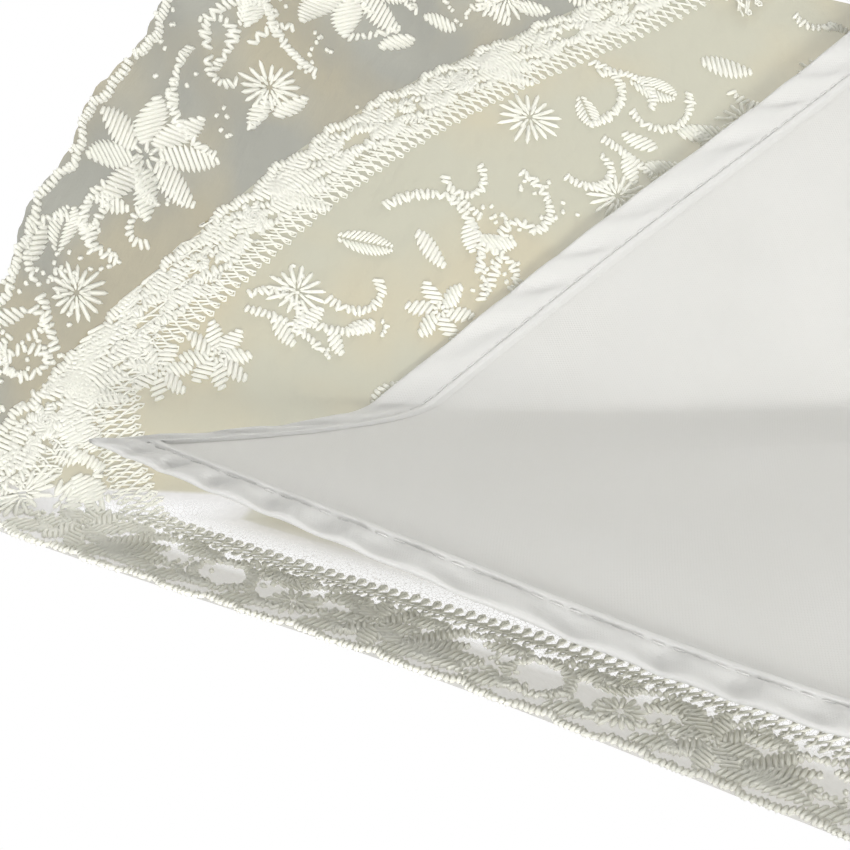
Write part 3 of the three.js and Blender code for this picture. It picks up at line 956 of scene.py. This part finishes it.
# What grows in from the looped band on the half gore that the eye is nearest to: a motif, its place
# on the border chart, and its other measures.
NEAR_TIP = (
    (daisy, (127.0, 17.6), (6.3, 17)),
    (stem, (117, 25), (1.2, 17, 2.2)),
    (stem, (135, 24), (0.2, 22, -2.4)),
    (sprig, (136.0, 27.0), (1.2, 11)),
    (sprig, (102.0, 22.0), (1.5, 11)),
    (knots, (107.0, 32.0), (14, 2.4)),
    (daisy, (67.0, 18.6), (5.4, 15)),
    (star_flower, (48.5, 17.0), (6.2, 8, 0.45)),
    (sprig, (64.0, 23.0), (1.2, 8)),
    (split_leaf, (80.0, 16.0), (0.9, 11, 4.2)),
    (stem, (70, 22), (1.5, 15, -2.6)),
    (sprig, (58.0, 14.0), (1.0, 10)),
    (star_flower, (40.0, 12.0), (5.5, 7, 0.45)),
    (split_leaf, (150.0, 19.0), (1.0, 10, 5.2)),
    (stem, (158, 26), (2.0, 20, 2.9)),
    (stem, (90, 17), (0.1, 20, 1.4)),
    (stem, (112, 20), (1.9, 15, 3.4)),
    (knots, (117.0, 30.0), (12, 2.2)),
    (knots, (100.0, 37.0), (10, 2.6)),
    (stem, (100, 33), (1.0, 12, 2.0)),
    (satin_leaf, (92, 24), (1.7, 8, 3.4)),
    (stem, (124, 30), (1.3, 16, -3.0)),
    (split_leaf, (139, 18), (1.9, 8, 4.0)),
    (stem, (145, 15), (0.3, 16, 2.2)),
    (daisy, (162.0, 37.0), (5.0, 13)),
    (stem, (60, 13), (0.4, 15, 2.5)),
    (knots, (68.0, 17.0), (8, 1.7)),
    (satin_leaf, (164, 22), (0.9, 9, 4.2)),
    (satin_leaf, (150, 34), (0.4, 9, 4.2)),
)


def near_tip_pattern():
    return np.concatenate([motif(place, *measures) for motif, place, measures in NEAR_TIP])


def spread_at_tip(side, run, inset):
    return inset * (1 + TIP_SPREAD[side] * np.exp(-np.clip(run, BORDER_START + 1, None) / TIP_SPREAD_REACH))


def spread_rows(side, rows):
    for column in (0, 2):
        rows[:, column + 1] = spread_at_tip(side, rows[:, column], rows[:, column + 1])
    return rows


def border_embroidery(charts):
    parts = []
    for side, chart in charts.items():
        length, inset = chart["length"][-1], BAND_INSET[side]
        for phase, shift in ((0.0, 0.0), (2.1, 0.5)):
            path = looped_band(length, inset + shift, phase)
            path[:, 1] = spread_at_tip(side, path[:, 0], path[:, 1])
            parts.append(thread_to_tube(chart, path, 0.21, place_on_border))
        rows = spread_rows(side, border_repeat(length, 1.5, inset - BAND_REACH + 0.6))
        parts.append(stitches_to_tubes(chart, rows, place_on_border))
    parts.append(stitches_to_tubes(charts[1], flounce_pattern(charts[1]), place_on_border))
    return gather(parts)


def field_embroidery(charts):
    near_tip = stitches_to_tubes(charts[1], near_tip_pattern(), place_on_border)
    parts = [near_tip]
    for side, gap in ((1, 26), (-1, 11)):
        rows = field_pattern(BAND_INSET[side] + gap, charts[side])
        parts.append(stitches_to_tubes(charts[side], rows, place_in_field))
    return gather(parts)


# --- Camera, light and stage ----------------------------------------------------------------------


def add_camera():
    """Under the canopy's edge, looking up at the inside of rib 1's tip."""
    eye = Vector((225.6, -213.0, 189.3)) * MM
    back = Vector((-0.30189, -0.70747, -0.63903)).normalized()
    up = Vector((-0.42864, 0.69945, -0.57187))
    right = up.cross(back).normalized()
    up = back.cross(right)
    data = bpy.data.cameras.new("camera")
    data.lens = 85
    data.sensor_width = 36
    data.clip_start = 0.005
    camera = bpy.data.objects.new("camera", data)
    camera.matrix_world = Matrix.Translation(eye) @ Matrix((right, up, back)).transposed().to_4x4()
    bpy.context.scene.collection.objects.link(camera)
    bpy.context.scene.camera = camera


def add_area_light(name, place, target, size, power, spread=math.pi):
    data = bpy.data.lights.new(name, "AREA")
    data.size = size
    data.energy = power
    data.spread = spread
    lamp = bpy.data.objects.new(name, data)
    lamp.location = place
    lamp.visible_camera = False
    lamp.rotation_euler = (Vector(target) - Vector(place)).to_track_quat("-Z", "Y").to_euler()
    bpy.context.scene.collection.objects.link(lamp)


def add_world():
    """White behind the object, with less light from it than it shows."""
    world = bpy.data.worlds.new("studio")
    world.use_nodes = True
    tree = world.node_tree
    light = feed(tree, tree.nodes["Background"], Color=(0.97, 0.985, 1.0), Strength=0.5)
    seen = add_node(tree, "Background", Color=(1, 1, 1), Strength=1.0)
    by_camera = add_node(tree, "LightPath").outputs["Is Camera Ray"]
    sky = mix_shaders(tree, by_camera, light.outputs["Background"], seen.outputs["Background"])
    feed(tree, tree.nodes["World Output"], Surface=sky)
    bpy.context.scene.world = world


def add_stage():
    add_world()
    bpy.context.scene.view_settings.view_transform = "Standard"
    middle = (0.27, 0, 0.38)
    add_area_light("key", (0.14, -0.95, -0.02), middle, 0.35, 1.15, KEY_SPREAD)
    add_area_light("fill", (-0.5, 0.8, 0.0), middle, 0.6, 0.95, KEY_SPREAD)
    add_area_light("sky", (-0.4, -0.5, 1.7), middle, 1.4, 25)
    turn = np.linspace(0, 2 * math.pi, 96, endpoint=False)
    ground = np.full(len(turn), cad_box[0][2] / MM - 0.5)
    rim = np.column_stack([unit(turn) * FLOOR_RADIUS, ground])
    material, _, _ = new_material("floor", (0.92, 0.92, 0.91), 0.9)
    make_mesh("floor", rim, [range(len(turn))], material, smooth=False)


# --- Assembly -------------------------------------------------------------------------------------


def flounce_size(chart):
    """Width, drop and area of the flat cloth of one flounce, in metres."""
    run = np.linspace(0, chart["length"][-1], 400)
    drop = flounce_drop(chart, run)
    width = run[-1] * FLOUNCE_FULLNESS
    return width * MM, drop.max() * MM, drop.mean() * width * MM * MM


def attach(piece, i):
    """The piece goes with its rib."""
    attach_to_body(piece, f"rib_{i + 1}")
    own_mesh(piece)


def make_cover():
    """The cover's pieces: for each kind, a list of one on each rib."""
    charts = {side: half_gore_chart(side) for side in (1, -1)}
    cotton, hem = cotton_material("cotton_lining", 0.76, 0.28), cotton_material("cotton_hem", 0.75, 0.2)
    thread = thread_material()
    # Its ground tones sit well below the ivory of the lace itself: painted shade of the canopy's inside,
    # over its own cool and warm patches.
    net = net_material("lace_net", (0.435, 0.425, 0.31), (0.485, 0.425, 0.26))
    # The flounce's net is a much darker copy of the lace net: painted shade for the shade the flounce hangs
    # in.
    painted_shade_net = net_material("flounce_net_painted_shade", (0.21, 0.215, 0.185), (0.32, 0.275, 0.16))
    cover = {
        "lining": add_lining(cotton, hem),
        "stitches": around_ribs("lining_stitches", *gather([hem_stitches(), eyelet_stitches()]), hem),
        "net": add_net(net),
        "flounce": add_flounce(painted_shade_net, charts[1]),
        "border": around_ribs("border_embroidery", *border_embroidery(charts), thread),
        "field": around_ribs("field_embroidery", *field_embroidery(charts), thread),
    }
    return cover, crown_rosette(thread), flounce_size(charts[1])


def declare_cover(cover):
    """What each piece rides on and stands for."""
    for i in range(RIBS):
        lining, stitches, net, flounce, border, field = (pieces[i] for pieces in cover.values())
        for piece in (lining, stitches):
            attach(piece, i)
        for piece in (net, flounce, border, field):
            attach(piece, i)
        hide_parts(f"lining_panel_{i + 1}")
        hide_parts(f"lace_panel_{i + 1}")


def declare_rosette(rosette):
    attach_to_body(rosette, "frame")
    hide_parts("rosette")


def main():
    add_camera()
    add_stage()
    dress_frame()
    cover, rosette, flounce_cut = make_cover()
    declare_cover(cover)
    declare_rosette(rosette)


main()
